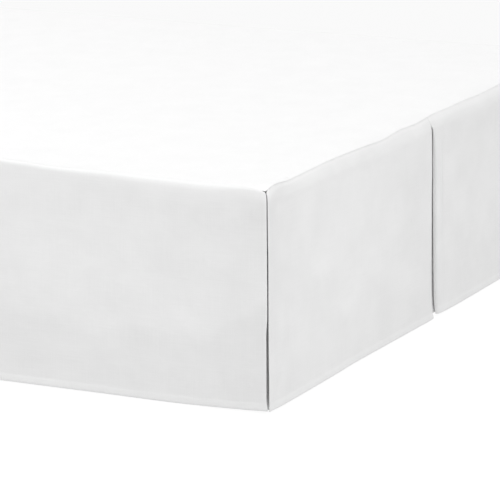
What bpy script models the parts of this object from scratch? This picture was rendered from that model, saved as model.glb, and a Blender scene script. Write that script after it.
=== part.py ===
"""A bed skirt on its bed base.

The skirt is a flat deck with three drops sewn round it: one down each side and one across the foot,
and none at the head. Each drop has an inverted box pleat in its middle. The foot corners are split, and
an L-shaped flap hangs behind each split. The skirt lies over a plain foundation on six legs.

Metres, +Z up. The origin is on the floor under the middle of the bed. +X runs across the bed, and +Y
from its foot to its head. Every drop is drawn in a frame of its own: x runs along the face from left to
right as seen from outside, y goes in behind it, and its pleat is at x = 0.
"""

from math import cos, pi, sin, sqrt

import bmesh
import bpy

# The bed, measured over the outer faces of the cloth
WIDTH = 1.372
LENGTH = 1.905
DECK_TOP = 0.387
HEM_HEIGHT = 0.006

# The cloth, and how close pieces and layers lie
CLOTH = 0.0015
GAP = 0.0003
LAYER = 0.004

# The shoulder, where a drop turns over the foundation's edge and ends under the deck's edge. It is the
# top of an ellipse, cut off at SHOULDER_SHARE of its height, before it lies flat
SHOULDER = 0.026
LEAN = 0.010
SHOULDER_SHARE = 0.92
RIM_RISE = 0.0008
DECK_OVERHANG = 0.0005

# The hang of a drop
FLARE = 0.003
FLARE_POWER = 1.8
UNDERLAY_LIFT = 0.005

# The box pleats
SLIT = 0.003
RETURN = 0.075
FOLD_STEPS = 4
CURL_REACH = 0.024
CURL_FADE = 0.050
CURL_BELOW_SEAM = 0.050
CURL_LOST_AT_HEM = 0.4
UNDERLAY_POINTS = (-1, -0.6, -0.3, 0, 0.3, 0.6, 1)

# The split corners
CORNER_SLIT = 0.0012
CORNER_REACH = 0.060
CORNER_ROUND = 0.006
INSERT_REACH = 0.110
INSERT_RADIUS = 0.006
DECK_CORNER = 0.012

# The base
LEG_HEIGHT = 0.127
FOUNDATION_INSET = 0.017
FOUNDATION_HEAD_INSET = 0.004
FOUNDATION_CORNER = 0.040
FOUNDATION_TOP_EDGE = 0.025
FOUNDATION_BOTTOM_EDGE = 0.008
LEG_TOP_RADIUS = 0.028
LEG_FOOT_RADIUS = 0.020
LEG_SIDES = 24
LEG_ACROSS = 0.580
LEGS_ALONG = {"foot": -0.850, "middle": 0.0, "head": 0.850}

# Where the mesh has its points
PANEL_EDGE_POINTS = (0.0, 0.006, 0.014, 0.024, 0.042)
PANEL_STEP = 0.115
DROP_ROWS = (0.0, 0.12, 0.3, 0.5, 0.7, 0.86, 1.0)
SHOULDER_ROWS = (0.3, 0.55, 0.75, 0.9, 1.0)
CORNER_STEPS = 5

# Soft swells of a panel: the middle's place along the drop and its height, the reach each way, and how
# far the cloth stands out there, or in where it is negative
FOOT_SWELLS = (
    {"along": -0.48, "height": 0.21, "wide": 0.16, "tall": 0.15, "out": -0.0025},
    {"along": -0.22, "height": 0.26, "wide": 0.15, "tall": 0.12, "out": 0.0020},
    {"along": 0.30, "height": 0.20, "wide": 0.20, "tall": 0.16, "out": -0.0020},
)
LEFT_SWELLS = (
    {"along": 0.70, "height": 0.24, "wide": 0.18, "tall": 0.13, "out": -0.0025},
    {"along": 0.38, "height": 0.12, "wide": 0.20, "tall": 0.12, "out": 0.0025},
    {"along": -0.45, "height": 0.20, "wide": 0.25, "tall": 0.15, "out": -0.0020},
)
RIGHT_SWELLS = (
    {"along": -0.60, "height": 0.22, "wide": 0.22, "tall": 0.14, "out": -0.0025},
    {"along": -0.30, "height": 0.14, "wide": 0.16, "tall": 0.12, "out": 0.0020},
    {"along": 0.50, "height": 0.18, "wide": 0.24, "tall": 0.15, "out": -0.0020},
)

SHOULDER_BOTTOM = DECK_TOP - SHOULDER
DROP_TOP = DECK_TOP - CLOTH - GAP - RIM_RISE
FOLD_RADIUS = LAYER / 2


def clear_scene():
    for obj in list(bpy.data.objects):
        bpy.data.objects.remove(obj, do_unlink=True)


def material(name, colour, roughness):
    made = bpy.data.materials.new(name)
    made.use_nodes = True
    shader = made.node_tree.nodes["Principled BSDF"]
    shader.inputs["Base Color"].default_value = (*colour, 1.0)
    shader.inputs["Roughness"].default_value = roughness
    shader.inputs["Metallic"].default_value = 0.0
    return made


def ease(share):
    """0 before 0, 1 after 1, and a smooth rise between them."""
    share = min(max(share, 0.0), 1.0)
    return share * share * (3 - 2 * share)


def add_object(name, mesh, finish, parent, location=(0, 0, 0), turn=0.0):
    if not mesh.materials:
        mesh.materials.append(finish)
    obj = bpy.data.objects.new(name, mesh)
    obj.location = location
    obj.rotation_euler = (0, 0, turn)
    obj.parent = parent
    bpy.context.scene.collection.objects.link(obj)
    return obj


def lean(z):
    """How far the shoulder has turned in at this height."""
    share = SHOULDER_SHARE * max(z - SHOULDER_BOTTOM, 0.0) / (DROP_TOP - SHOULDER_BOTTOM)
    whole = LEAN / (1 - sqrt(1 - SHOULDER_SHARE**2))
    return whole * (1 - sqrt(1 - share**2))


def flare(z):
    """How far the drop stands out at this height: nothing at the shoulder, and the most at the hem."""
    share = max(SHOULDER_BOTTOM - z, 0.0) / (SHOULDER_BOTTOM - HEM_HEIGHT)
    return FLARE * share**FLARE_POWER


def swell(swells, along, z):
    out = 0.0
    for one in swells:
        across = ease(1 - abs(along - one["along"]) / one["wide"])
        up = ease(1 - abs(z - one["height"]) / one["tall"])
        out += one["out"] * across * up
    return out


def curl(along, layer, z, left_curl, right_curl):
    """How far a panel's fold at the pleat has turned in. The underlay gives way over a wider stretch."""
    below_seam = ease((DROP_TOP - z) / CURL_BELOW_SEAM)
    towards_hem = ease((SHOULDER_BOTTOM - z) / SHOULDER_BOTTOM)
    height_share = below_seam * (1 - CURL_LOST_AT_HEM * towards_hem)
    depth = left_curl if along < 0 else right_curl
    at_edge = depth * (1 - ease((abs(along) - SLIT / 2) / CURL_REACH))
    at_underlay = max(left_curl, right_curl) * (1 - ease((abs(along) - CURL_REACH) / CURL_FADE))
    share = max(layer - 1.0, 0.0)
    return height_share * ((1 - share) * at_edge + share * at_underlay)


def panel(start, end):
    """Places across a flat panel, close together near its two edges and PANEL_STEP apart between them."""
    edge = PANEL_EDGE_POINTS[-1]
    steps = max(round((end - start - 2 * edge) / PANEL_STEP), 1)
    places = [start + e for e in PANEL_EDGE_POINTS]
    places += [start + edge + (end - start - 2 * edge) * i / steps for i in range(1, steps)]
    return places + [end - e for e in reversed(PANEL_EDGE_POINTS)]


def fold(middle, side, layer, next_layer):
    """The points of a half turn from one layer to the next, rounded towards this side."""
    angles = [pi * i / FOLD_STEPS for i in range(1, FOLD_STEPS)]
    rise = next_layer - layer
    return [(middle + side * FOLD_RADIUS * sin(a), layer + rise * (1 - cos(a)) / 2) for a in angles]


def pleated_path(start, end):
    """(place, layer) along a drop: panel, return, underlay, return, panel, with a fold between two."""
    outer = SLIT / 2 + FOLD_RADIUS
    inner = RETURN - FOLD_RADIUS
    left_return = [-outer - e for e in PANEL_EDGE_POINTS] + [-inner]
    right_return = [inner] + [outer + e for e in reversed(PANEL_EDGE_POINTS)]
    path = [(x, 0) for x in panel(start, -outer)]
    path += fold(-outer, 1, 0, 1)
    path += [(x, 1) for x in left_return]
    path += fold(-inner, -1, 1, 2)
    path += [(inner * share, 2) for share in UNDERLAY_POINTS]
    path += fold(inner, 1, 2, 1)
    path += [(x, 1) for x in right_return]
    path += fold(outer, -1, 1, 0)
    path += [(x, 0) for x in panel(outer, end)]
    return path


def heights(layer):
    """The rows of points up a drop. The layers behind the face end a little higher at the hem."""
    hem = HEM_HEIGHT + UNDERLAY_LIFT * ease(layer / 2)
    rows = [hem + (SHOULDER_BOTTOM - hem) * share for share in DROP_ROWS]
    rows += [SHOULDER_BOTTOM + (DROP_TOP - SHOULDER_BOTTOM) * share for share in SHOULDER_ROWS]
    return rows


def corner_shift(z, end):
    """How far a drop's edge at a split corner has moved in along its face: with the other face's shoulder,
    and on the rounded top corner of a tucked edge a little more."""
    if end == "plain":
        return 0.0
    share = max(z - (DROP_TOP - CORNER_ROUND), 0.0) / CORNER_ROUND
    rounding = CORNER_ROUND * (1 - sqrt(1 - min(share, 1.0) ** 2)) if end == "tucked" else 0.0
    return lean(z) + rounding


def grid_mesh(name, columns):
    """A mesh through columns of points, which all have the same number of points."""
    bm = bmesh.new()
    verts = [[bm.verts.new(point) for point in column] for column in columns]
    for one, two in zip(verts, verts[1:]):
        for i in range(len(one) - 1):
            bm.faces.new((one[i], two[i], two[i + 1], one[i + 1]))
    mesh = bpy.data.meshes.new(name)
    bm.to_mesh(mesh)
    bm.free()
    return mesh


def thicken(obj):
    """Gives a sheet the cloth's thickness, half to each side, and shades it smooth."""
    solidify = obj.modifiers.new("Cloth thickness", "SOLIDIFY")
    solidify.thickness = CLOTH
    solidify.offset = 0.0
    solidify.use_even_offset = True
    obj.data.shade_smooth()


def make_drop(name, finish, parent, location, turn, length, ends, curls, swells):
    """One drop. ends has a word for its left and its right end: plain, corner, or tucked where the edge
    stops behind the other drop's end."""
    half = length / 2
    tuck = CLOTH + CORNER_SLIT
    start = -half + (tuck if ends[0] == "tucked" else 0.0)
    end = half - (tuck if ends[1] == "tucked" else 0.0)
    columns = []
    for x, layer in pleated_path(start, end):
        column = []
        for z in heights(layer):
            depth = CLOTH / 2 + layer * LAYER + lean(z) - flare(z)
            depth += curl(x, layer, z, *curls) - swell(swells, x, z)
            shift = corner_shift(z, ends[0]) * (1 - ease((x - start) / CORNER_REACH))
            shift -= corner_shift(z, ends[1]) * (1 - ease((end - x) / CORNER_REACH))
            column.append((x + shift, depth, z))
        columns.append(column)
    obj = add_object(name, grid_mesh(name, columns), finish, parent, location, turn)
    thicken(obj)
    return obj


def insert_mesh():
    """The L-shaped flap behind a split corner. Its corner is at the origin, and it runs along +X and +Y."""
    rows = []
    for z in heights(2):
        depth = CLOTH / 2 + LAYER + lean(z) - flare(z)
        centre = depth + INSERT_RADIUS
        row = [(depth, INSERT_REACH, z)]
        for i in range(CORNER_STEPS + 1):
            angle = pi + i * pi / 2 / CORNER_STEPS
            row.append((centre + INSERT_RADIUS * cos(angle), centre + INSERT_RADIUS * sin(angle), z))
        row.append((INSERT_REACH, depth, z))
        rows.append(row)
    return grid_mesh("corner_insert", rows)


def deck_mesh():
    """The deck, flat, with its two foot corners rounded. It ends over the top edges of the drops."""
    edge = LEAN - DECK_OVERHANG
    half_width = WIDTH / 2 - edge
    foot = -LENGTH / 2 + edge
    head = LENGTH / 2
    outline = [(-half_width, head)]
    for side in (-1, 1):
        for i in range(CORNER_STEPS + 1):
            turned = i * pi / 2 / CORNER_STEPS
            angle = pi + turned if side < 0 else 1.5 * pi + turned
            x = side * (half_width - DECK_CORNER) + DECK_CORNER * cos(angle)
            outline.append((x, foot + DECK_CORNER + DECK_CORNER * sin(angle)))
    outline.append((half_width, head))
    bm = bmesh.new()
    bottom = bm.faces.new([bm.verts.new((x, y, DECK_TOP - CLOTH)) for x, y in outline])
    made = bmesh.ops.extrude_face_region(bm, geom=[bottom])["geom"]
    raised = [one for one in made if isinstance(one, bmesh.types.BMVert)]
    bmesh.ops.translate(bm, vec=(0, 0, CLOTH), verts=raised)
    bmesh.ops.recalc_face_normals(bm, faces=bm.faces)
    mesh = bpy.data.meshes.new("deck")
    bm.to_mesh(mesh)
    bm.free()
    return mesh


def bevelled(bm, picked, width, segments):
    edges = [edge for edge in bm.edges if picked(edge.verts[0].co, edge.verts[1].co)]
    bmesh.ops.bevel(
        bm,
        geom=edges,
        offset=width,
        segments=segments,
        profile=0.5,
        affect="EDGES",
        clamp_overlap=True,
    )


def foundation_mesh(height):
    """The foundation round its own middle: upright corners rounded first, then its top and bottom edges."""
    width = WIDTH - 2 * FOUNDATION_INSET
    length = LENGTH - FOUNDATION_INSET - FOUNDATION_HEAD_INSET
    bm = bmesh.new()
    bmesh.ops.create_cube(bm, size=1.0)
    bmesh.ops.scale(bm, vec=(width, length, height), verts=bm.verts)
    top = height / 2
    bevelled(bm, lambda a, b: abs(a.z - b.z) > top, FOUNDATION_CORNER, 6)
    bevelled(bm, lambda a, b: min(a.z, b.z) > top - GAP, FOUNDATION_TOP_EDGE, 5)
    bevelled(bm, lambda a, b: max(a.z, b.z) < GAP - top, FOUNDATION_BOTTOM_EDGE, 2)
    mesh = bpy.data.meshes.new("foundation")
    bm.to_mesh(mesh)
    bm.free()
    mesh.shade_smooth()
    mesh.set_sharp_from_angle(angle=pi / 5)
    return mesh


def leg_mesh():
    bm = bmesh.new()
    bmesh.ops.create_cone(
        bm,
        cap_ends=True,
        segments=LEG_SIDES,
        radius1=LEG_FOOT_RADIUS,
        radius2=LEG_TOP_RADIUS,
        depth=LEG_HEIGHT,
    )
    mesh = bpy.data.meshes.new("leg")
    bm.to_mesh(mesh)
    bm.free()
    mesh.shade_smooth()
    mesh.set_sharp_from_angle(angle=pi / 4)
    return mesh


def build_skirt(bed):
    cloth = material("White cloth", (0.90, 0.90, 0.89), 0.85)
    add_object("deck", deck_mesh(), cloth, bed)
    make_drop(
        "foot_drop",
        cloth,
        bed,
        location=(0, -LENGTH / 2, 0),
        turn=0.0,
        length=WIDTH,
        ends=("corner", "corner"),
        curls=(0.0005, 0.0045),
        swells=FOOT_SWELLS,
    )
    make_drop(
        "side_drop_left",
        cloth,
        bed,
        location=(-WIDTH / 2, 0, 0),
        turn=-pi / 2,
        length=LENGTH,
        ends=("plain", "tucked"),
        curls=(0.0025, 0.0015),
        swells=LEFT_SWELLS,
    )
    make_drop(
        "side_drop_right",
        cloth,
        bed,
        location=(WIDTH / 2, 0, 0),
        turn=pi / 2,
        length=LENGTH,
        ends=("tucked", "plain"),
        curls=(0.0010, 0.0030),
        swells=RIGHT_SWELLS,
    )
    insert = insert_mesh()
    left = add_object("corner_insert_left", insert, cloth, bed, (-WIDTH / 2, -LENGTH / 2, 0))
    right = add_object("corner_insert_right", insert, cloth, bed, (WIDTH / 2, -LENGTH / 2, 0), pi / 2)
    thicken(left)
    thicken(right)


def build_base(bed):
    ticking = material("Foundation cover", (0.80, 0.79, 0.76), 0.9)
    wood = material("Beech", (0.62, 0.44, 0.27), 0.5)
    top = DECK_TOP - CLOTH - GAP
    bottom = LEG_HEIGHT + GAP
    middle = (FOUNDATION_INSET - FOUNDATION_HEAD_INSET) / 2
    foundation = foundation_mesh(top - bottom)
    add_object("foundation", foundation, ticking, bed, (0, middle, (top + bottom) / 2))
    leg = leg_mesh()
    for side, across in (("left", -LEG_ACROSS), ("right", LEG_ACROSS)):
        for place, along in LEGS_ALONG.items():
            add_object(f"leg_{place}_{side}", leg, wood, bed, (across, along, LEG_HEIGHT / 2))


clear_scene()
bed = bpy.data.objects.new("bed", None)
bpy.context.scene.collection.objects.link(bed)
build_skirt(bed)
build_base(bed)
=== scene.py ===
"""A tailored bed skirt of white cotton, laid over a bed base and standing on a pale floor."""

from math import cos, pi, radians, sin, sqrt

import bmesh
import bpy
from mathutils import Matrix, Vector, noise


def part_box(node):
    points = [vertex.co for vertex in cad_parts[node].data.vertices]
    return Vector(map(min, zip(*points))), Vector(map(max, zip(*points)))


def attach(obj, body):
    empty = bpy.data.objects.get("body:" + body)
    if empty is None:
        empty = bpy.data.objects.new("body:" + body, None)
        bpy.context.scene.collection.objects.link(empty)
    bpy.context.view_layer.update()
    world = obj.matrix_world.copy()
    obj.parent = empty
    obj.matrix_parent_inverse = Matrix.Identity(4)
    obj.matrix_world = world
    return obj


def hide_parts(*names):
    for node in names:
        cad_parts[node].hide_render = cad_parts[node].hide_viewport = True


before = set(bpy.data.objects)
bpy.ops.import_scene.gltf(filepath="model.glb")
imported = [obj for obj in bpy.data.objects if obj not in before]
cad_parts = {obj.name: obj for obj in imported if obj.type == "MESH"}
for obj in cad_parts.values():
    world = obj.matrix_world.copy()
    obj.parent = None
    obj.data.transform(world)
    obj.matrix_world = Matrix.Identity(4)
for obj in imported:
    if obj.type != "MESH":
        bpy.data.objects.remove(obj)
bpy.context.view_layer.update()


# Six legs turned from beech, tapered to the foot, with a groove cut under the collar. They are varnished
# and screwed up into the base's frame, and each stands on a felt glide stuck under its foot.
LEG_SIDES = 40
LEG_MIDDLE = 0.001
LEG_TAPER = 0.714
LEG_CLEAR = 0.0006
LEG_COLLAR = 0.016
LEG_NECK = 0.0015
LEG_GROOVE = 0.0014
GLIDE = 0.003
GLIDE_INSET = 0.0034
SHAFT_ROUND = 0.0022


def ease(share):
    """0 before 0, 1 after 1, and a smooth rise between them."""
    share = min(max(share, 0.0), 1.0)
    return share * share * (3 - 2 * share)


def add_node(tree, kind, inputs=None, **settings):
    """A shader node with these settings. An input takes a value, or the socket that feeds it."""
    node = tree.nodes.new(kind)
    for name, value in settings.items():
        setattr(node, name, value)
    for key, value in (inputs or {}).items():
        if isinstance(value, bpy.types.NodeSocket):
            tree.links.new(value, node.inputs[key])
        else:
            node.inputs[key].default_value = value
    return node


def finish(name, colour, roughness):
    """A material, its node tree and its shader."""
    made = bpy.data.materials.new(name)
    made.use_nodes = True
    shader = made.node_tree.nodes["Principled BSDF"]
    shader.inputs["Base Color"].default_value = (*colour, 1)
    shader.inputs["Roughness"].default_value = roughness
    return made, made.node_tree, shader


def skin(bm, rows, closed=False, surface=0):
    """Faces between neighbouring rows of points."""
    for one, two in zip(rows, rows[1:]):
        for i in range(len(one) if closed else len(one) - 1):
            j = (i + 1) % len(one)
            face = bm.faces.new((one[i], one[j], two[j], two[i]))
            face.material_index = surface
            face.smooth = True


def piece(name, bm, *finishes):
    """A piece of the bed made from this mesh."""
    mesh = bpy.data.meshes.new(name)
    bm.to_mesh(mesh)
    bm.free()
    for one in finishes:
        mesh.materials.append(one)
    obj = bpy.data.objects.new(name, mesh)
    bpy.context.scene.collection.objects.link(obj)
    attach(obj, "root")
    return obj


def stretched(tree, place, scale):
    """Places with each direction scaled by its own amount, so that a pattern there is long one way."""
    return add_node(tree, "ShaderNodeMapping", {"Vector": place, "Scale": scale}).outputs[0]


def patches(tree, place, scale, detail):
    """Soft uneven patches, from 0 to 1."""
    inputs = {"Vector": place, "Scale": scale, "Detail": detail}
    return add_node(tree, "ShaderNodeTexNoise", inputs).outputs["Fac"]


def two_tones(tree, share, dark, pale, ends=(0.0, 1.0)):
    """A colour that goes from the dark one to the pale one as the share goes from end to end."""
    ramp = add_node(tree, "ShaderNodeValToRGB", {"Fac": share})
    for stop, at, colour in zip(ramp.color_ramp.elements, ends, (dark, pale)):
        stop.position = at
        stop.color = (*colour, 1)
    return ramp.outputs["Color"]


def raised(tree, shader, height, strength, depth):
    """A surface with bumps as high as this pattern."""
    bump = add_node(tree, "ShaderNodeBump", {"Height": height, "Strength": strength, "Distance": depth})
    tree.links.new(bump.outputs[0], shader.inputs["Normal"])
    return bump


def beech():
    """Varnished beech: pale brown with straight grain along the leg and short darker flecks."""
    made, tree, shader = finish("Varnished beech", (0.62, 0.44, 0.27), 0.38)
    place = add_node(tree, "ShaderNodeTexCoord").outputs["Object"]
    grain = patches(tree, stretched(tree, place, (140, 140, 7)), 1.6, 6)
    fleck = patches(tree, stretched(tree, place, (900, 900, 160)), 1.0, 1)
    dark = add_node(tree, "ShaderNodeMapRange", {0: fleck, 1: 0.62, 2: 0.74, 3: 0.0, 4: 0.5}).outputs[0]
    tone = two_tones(tree, grain, (0.47, 0.31, 0.17), (0.68, 0.50, 0.32), (0.32, 0.68))
    flecked = {"Factor": dark, 6: tone, 7: (0.36, 0.21, 0.11, 1)}
    mixed = add_node(tree, "ShaderNodeMix", flecked, data_type="RGBA")
    tree.links.new(mixed.outputs[2], shader.inputs["Base Color"])
    raised(tree, shader, grain, 0.12, 0.0006)
    shader.inputs["Coat Weight"].default_value = 0.35
    shader.inputs["Coat Roughness"].default_value = 0.18
    return made


def felt():
    """Dark grey felt with a short rough nap."""
    made, tree, shader = finish("Grey felt", (0.23, 0.22, 0.21), 0.95)
    place = add_node(tree, "ShaderNodeTexCoord").outputs["Object"]
    raised(tree, shader, patches(tree, place, 1400, 3), 0.5, 0.0006)
    return made


def turned_rings(bm, centre, outline):
    """A ring of points round the leg's axis for each (radius, height) of its outline."""
    rows = []
    for radius, z in outline:
        row = []
        for i in range(LEG_SIDES):
            angle = 2 * pi * i / LEG_SIDES
            row.append(bm.verts.new((centre.x + radius * cos(angle), centre.y + radius * sin(angle), z)))
        rows.append(row)
    return rows


wood = beech()
glide_felt = felt()
for leg_name in [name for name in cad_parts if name.startswith("leg_")]:
    low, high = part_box(leg_name)
    centre = (low + high) / 2
    top_radius = (high.x - low.x) / 2
    foot_radius = top_radius * LEG_TAPER
    neck_radius = top_radius - LEG_NECK
    height = high.z - LEG_CLEAR
    collar = height - LEG_COLLAR
    rise = collar - GLIDE
    outline = [(LEG_MIDDLE, GLIDE), (foot_radius - 0.0020, GLIDE), (foot_radius - 0.0006, GLIDE + 0.0007)]
    for share in (0, 0.2, 0.4, 0.6, 0.8, 1):
        radius = foot_radius + (neck_radius - foot_radius) * share**1.25
        outline.append((radius, GLIDE + SHAFT_ROUND + (rise - SHAFT_ROUND) * share))
    outline += [
        (neck_radius - LEG_GROOVE, collar + 0.0012),
        (neck_radius - LEG_GROOVE, collar + 0.0022),
        (top_radius - 0.0007, collar + 0.0034),
        (top_radius, collar + 0.0056),
        (top_radius, height - 0.0020),
        (top_radius - 0.0008, height - 0.0005),
        (top_radius - 0.0022, height),
        (LEG_MIDDLE, height),
    ]
    bm = bmesh.new()
    skin(bm, turned_rings(bm, centre, outline), closed=True)
    pad = [
        (LEG_MIDDLE, 0.0),
        (foot_radius - 0.0042, 0.0),
        (foot_radius - GLIDE_INSET, 0.0006),
        (foot_radius - GLIDE_INSET, GLIDE),
        (LEG_MIDDLE, GLIDE),
    ]
    skin(bm, turned_rings(bm, centre, pad), closed=True, surface=1)
    bmesh.ops.recalc_face_normals(bm, faces=bm.faces)
    leg = piece(leg_name + "_turned", bm, wood, glide_felt)
    leg.data.set_sharp_from_angle(angle=radians(50))
    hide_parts(leg_name)


# The foundation: a wooden frame with padding, covered in off-white cotton ticking. The border and the top
# are sewn together over a piping cord, and the cover is pulled round and tacked under the frame.
TOP_EDGE = 0.025
BOTTOM_EDGE = 0.008
COVER_CORNER = 0.040
BORDER_INSET = 0.03
BORDER_ROWS = 22
BORDER_CROWN = 0.0010
RUCK_REACH = 0.030
PIPE_RADIUS = 0.0022
PIPE_SIDES = 8
PIPE_INSET = 0.0003
PIPE_BELOW_TOP = 0.026
PIPE_ABOVE_BOTTOM = 0.010
PIPE_DIP = 0.0010
PIPE_DIP_REACH = 0.006
OUTLINE_STEP = 0.016
CORNER_POINTS = 10
TICKING_THREAD = 0.0006


def rounded_outline(low, high, radius, inset):
    """Points round a rectangle with round corners, each with the way out and how far along it lies. Every
    inset has the same number of points."""
    round_by = max(radius - inset, 0.002)
    found = []
    corners = ((high.x, high.y, 0), (low.x, high.y, 1), (low.x, low.y, 2), (high.x, low.y, 3))
    for x, y, quarter in corners:
        inward_x = -1 if x == high.x else 1
        inward_y = -1 if y == high.y else 1
        centre = Vector((x + inward_x * (inset + round_by), y + inward_y * (inset + round_by)))
        for i in range(CORNER_POINTS + 1):
            angle = (quarter + i / CORNER_POINTS) * pi / 2
            out = Vector((cos(angle), sin(angle)))
            found.append((centre + round_by * out, out))
    points = []
    along = 0.0
    for i, (point, out) in enumerate(found):
        after, out_after = found[(i + 1) % len(found)]
        gap = (after - point).length
        side = high.x - low.x if abs(out.y) > 0.9 else high.y - low.y
        steps = max(round(side / OUTLINE_STEP), 1) if (i + 1) % (CORNER_POINTS + 1) == 0 else 1
        for j in range(steps):
            share = j / steps
            way_out = out.lerp(out_after, share).normalized()
            points.append((point.lerp(after, share), way_out, along + gap * share))
        along += gap
    return points


def cloth_places(bm):
    """The layer that holds where each point lay on the flat cloth, in metres."""
    return bm.verts.layers.float_vector.new("flat")


def reckoned(tree, operation, *values):
    """The sum, product or sine of these values."""
    return add_node(tree, "ShaderNodeMath", dict(enumerate(values)), operation=operation).outputs[0]


def weave(tree, shader, thread, twill, strength, depth):
    """Threads, one over the other, laid out by where each point was on the flat cloth."""
    flat = add_node(tree, "ShaderNodeAttribute", attribute_name="flat").outputs["Vector"]
    turning = {"Vector": flat, "Scale": (pi / thread, pi / thread, 1), "Rotation": (0, 0, twill)}
    turned = add_node(tree, "ShaderNodeMapping", turning).outputs[0]
    parts = add_node(tree, "ShaderNodeSeparateXYZ", {0: turned})
    across = reckoned(tree, "SINE", parts.outputs["X"])
    up = reckoned(tree, "SINE", parts.outputs["Y"])
    threads = reckoned(tree, "MULTIPLY", across, up)
    return flat, raised(tree, shader, threads, strength, depth)


def ticking():
    """Off-white cotton ticking, a close twill with a few slubs."""
    made, tree, shader = finish("Cotton ticking", (0.80, 0.79, 0.76), 0.9)
    flat = weave(tree, shader, TICKING_THREAD, radians(32), 0.35, 0.0003)[0]
    slub = patches(tree, stretched(tree, flat, (40, 900, 1)), 1.0, 3)
    tone = two_tones(tree, slub, (0.70, 0.685, 0.645), (0.80, 0.79, 0.755), (0.3, 0.62))
    tree.links.new(tone, shader.inputs["Base Color"])
    return made


def ruck(along, height, seam):
    """Little gathers in the cover where it is pulled to a seam."""
    near = max(1 - abs(height - seam) / RUCK_REACH, 0.0) ** 2
    return 0.0009 * near * noise.noise(Vector((along * 34, height * 9, 2.0)))


low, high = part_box("foundation")
pipe_heights = (high.z - PIPE_BELOW_TOP, low.z + PIPE_ABOVE_BOTTOM)
border_top = high.z - TOP_EDGE
border_bottom = low.z + BOTTOM_EDGE
border_tall = border_top - border_bottom
levels = [(0.10, low.z), (0.04, low.z)]
for angle in (0.0, 0.4, 0.8, 1.2, pi / 2):
    levels.append((BOTTOM_EDGE * (1 - sin(angle)), low.z + BOTTOM_EDGE * (1 - cos(angle))))
levels += [(0.0, border_bottom + border_tall * i / BORDER_ROWS) for i in range(1, BORDER_ROWS)]
for angle in (0.0, 0.26, 0.52, 0.78, 1.04, 1.3, pi / 2):
    levels.append((TOP_EDGE * (1 - cos(angle)), border_top + TOP_EDGE * sin(angle)))
levels += [(0.05, high.z), (0.12, high.z), (0.30, high.z)]
bm = bmesh.new()
flat_place = cloth_places(bm)
rows = []
for inset, z in levels:
    row = []
    height_share = min(max((z - border_bottom) / border_tall, 0.0), 1.0)
    for point, out, along in rounded_outline(low, high, COVER_CORNER, inset):
        swell = BORDER_CROWN * sin(pi * height_share)
        if inset < BORDER_INSET:
            swell += sum(ruck(along, z, seam) for seam in pipe_heights)
            swell += 0.0008 * noise.noise(Vector((along * 5, z * 9, 4.0)))
        swell -= sum(PIPE_DIP * max(1 - abs(z - seam) / PIPE_DIP_REACH, 0) for seam in pipe_heights)
        spot = point + out * swell
        vert = bm.verts.new((spot.x, spot.y, z))
        vert[flat_place] = (along, z if inset < BORDER_INSET else z + inset, 0)
        row.append(vert)
    rows.append(row)
skin(bm, rows, closed=True)
bm.faces.new(rows[0])
bm.faces.new(rows[-1])
bmesh.ops.recalc_face_normals(bm, faces=bm.faces)
cover_cloth = ticking()
foundation = piece("foundation_cover", bm, cover_cloth)
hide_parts("foundation")

bm = bmesh.new()
flat_place = cloth_places(bm)
for seam in pipe_heights:
    rows = []
    for point, out, along in rounded_outline(low, high, COVER_CORNER, PIPE_INSET):
        row = []
        for i in range(PIPE_SIDES):
            angle = 2 * pi * i / PIPE_SIDES
            spot = point + out * (PIPE_RADIUS * cos(angle) * 0.9)
            wander = 0.0004 * noise.noise(Vector((along * 12, seam * 50, 8.0)))
            vert = bm.verts.new((spot.x, spot.y, seam + wander + PIPE_RADIUS * sin(angle)))
            vert[flat_place] = (along, seam + PIPE_RADIUS * angle, 0)
            row.append(vert)
        rows.append(row)
    rows.append(rows[0])
    skin(bm, rows, closed=True)
bmesh.ops.recalc_face_normals(bm, faces=bm.faces)
piping = piece("foundation_piping", bm, cover_cloth)


# The dust cover under the foundation: thin grey spunbond, its edge turned in, stapled to the frame every
# few centimetres. It sags a little between the rails.
DUST_EDGE = 0.028
DUST_SAG = 0.004
DUST_THICK = 0.0004
DUST_CLEAR = 0.0002
DUST_COLUMNS = 46
DUST_ROWS = 64
STAPLE = (0.011, 0.0012, 0.0005)
STAPLE_STEP = 0.070
STAPLE_IN = 0.006


def spunbond():
    """Thin grey sheet of pressed fibres, with the press's small dots."""
    made, tree, shader = finish("Grey spunbond", (0.50, 0.50, 0.49), 0.85)
    place = add_node(tree, "ShaderNodeTexCoord").outputs["Object"]
    spotted = add_node(tree, "ShaderNodeTexVoronoi", {"Vector": place, "Scale": 520}, feature="F1")
    tone = two_tones(tree, patches(tree, place, 60, 4), (0.42, 0.42, 0.41), (0.58, 0.58, 0.57))
    tree.links.new(tone, shader.inputs["Base Color"])
    raised(tree, shader, spotted.outputs["Distance"], 0.4, 0.0004)
    return made


def steel():
    """Bare steel wire, dull in places."""
    made, tree, shader = finish("Staple wire", (0.62, 0.62, 0.63), 0.32)
    shader.inputs["Metallic"].default_value = 1.0
    place = add_node(tree, "ShaderNodeTexCoord").outputs["Object"]
    rough = add_node(tree, "ShaderNodeMapRange", {0: patches(tree, place, 300, 2), 3: 0.25, 4: 0.5})
    tree.links.new(rough.outputs[0], shader.inputs["Roughness"])
    return made


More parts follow.
